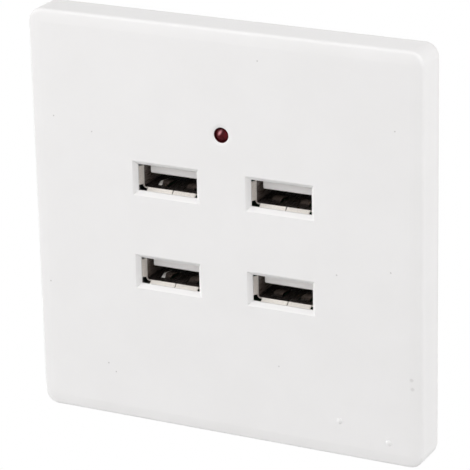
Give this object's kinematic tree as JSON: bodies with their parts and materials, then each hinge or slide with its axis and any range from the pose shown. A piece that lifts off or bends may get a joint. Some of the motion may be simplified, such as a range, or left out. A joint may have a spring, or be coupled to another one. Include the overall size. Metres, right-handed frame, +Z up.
{
  "type": "usb wall socket",
  "caption": "Square white wall plate with a grid of charging ports and a small indicator lamp, on a screw-fixed frame, with a mains supply box and screw terminals behind the wall.",
  "frame": {"origin": "centre of the plate, on the wall plane that the frame's back lies against", "axes": "+X to the right seen from the room, +Y into the wall, +Z up"},
  "size_m": [0.086, 0.0455, 0.086],
  "materials": {
    "cover_plastic": "white satin moulding",
    "frame_plastic": "white matt moulding",
    "housing_plastic": "white matt moulding",
    "board_laminate": "green solder mask",
    "lamp_lens": "dark red clear lens, not lit",
    "tinned_wire": "tinned wire",
    "spacer_plastic": "natural moulding",
    "black_plastic": "black moulding",
    "ferrite": "dark grey ferrite",
    "winding_tape": "yellow winding tape",
    "can_sleeve": "dark shrink sleeve",
    "disc_coating": "blue dipped coating",
    "fuse_case": "black box case",
    "copper_wire": "enamelled copper wire",
    "chip_resin": "black moulded resin",
    "screw_steel": "zinc plated steel",
    "terminal_plastic": "green moulding",
    "port_sheet": "nickel plated folded sheet",
    "tongue_plastic": "white moulding",
    "contact_metal": "gold flashed copper alloy",
    "cage_steel": "zinc plated steel",
    "busbar_brass": "bare brass"
  },
  "bodies": {
    "base": {"board_screws": "screw_steel", "bridge_rectifier": "chip_resin", "busbar_live": "busbar_brass", "busbar_neutral": "busbar_brass", "choke_core": "ferrite", "choke_winding": "copper_wire", "fuse": "fuse_case", "housing_screws": "screw_steel", "indicator_lamp": "lamp_lens", "input_capacitors": "can_sleeve", "lamp_leads": "tinned_wire", "lamp_spacer": "spacer_plastic", "link_body": "black_plastic", "link_pins": "tinned_wire", "mounting_frame": "frame_plastic", "output_capacitors": "can_sleeve", "port_board": "board_laminate", "port_contacts_bottom_left": "contact_metal", "port_contacts_bottom_right": "contact_metal", "port_contacts_top_left": "contact_metal", "port_contacts_top_right": "contact_metal", "port_controllers": "chip_resin", "port_shell_bottom_left": "port_sheet", "port_shell_bottom_right": "port_sheet", "port_shell_top_left": "port_sheet", "port_shell_top_right": "port_sheet", "port_tongue_bottom_left": "tongue_plastic", "port_tongue_bottom_right": "tongue_plastic", "port_tongue_top_left": "tongue_plastic", "port_tongue_top_right": "tongue_plastic", "power_board": "board_laminate", "rear_housing": "housing_plastic", "safety_capacitor": "disc_coating", "supply_controller": "chip_resin", "terminal_block": "terminal_plastic", "transformer_bobbin": "black_plastic", "transformer_core": "ferrite", "transformer_winding": "winding_tape"},
    "cover": {"front_cover": "cover_plastic"},
    "live_screw": {"terminal_screw_live": "screw_steel"},
    "live_cage": {"clamp_cage_live": "cage_steel"},
    "neutral_screw": {"terminal_screw_neutral": "screw_steel"},
    "neutral_cage": {"clamp_cage_neutral": "cage_steel"}
  },
  "joints": [
    {"name": "cover_pull", "type": "slide", "parent": "base", "child": "cover", "axis": [0, -1, 0], "range_m": [0, 0.02]},
    {"name": "live_cage_rise", "type": "slide", "parent": "base", "child": "live_cage", "axis": [0, 1, 0], "range_m": [0, 0.002]},
    {"name": "live_screw_turn", "type": "hinge", "parent": "base", "child": "live_screw", "pos_m": [-0.004, 0.03, -0.014], "axis": [0, -1, 0], "range_deg": [0, 1440]},
    {"name": "neutral_cage_rise", "type": "slide", "parent": "base", "child": "neutral_cage", "axis": [0, 1, 0], "range_m": [0, 0.002]},
    {"name": "neutral_screw_turn", "type": "hinge", "parent": "base", "child": "neutral_screw", "pos_m": [0.004, 0.03, -0.014], "axis": [0, -1, 0], "range_deg": [0, 1440]}
  ],
  "couplings": [
    {"joint": "live_screw_turn", "follows": "live_cage_rise", "rad_per_m": 12566},
    {"joint": "neutral_screw_turn", "follows": "neutral_cage_rise", "rad_per_m": 12566}
  ]
}
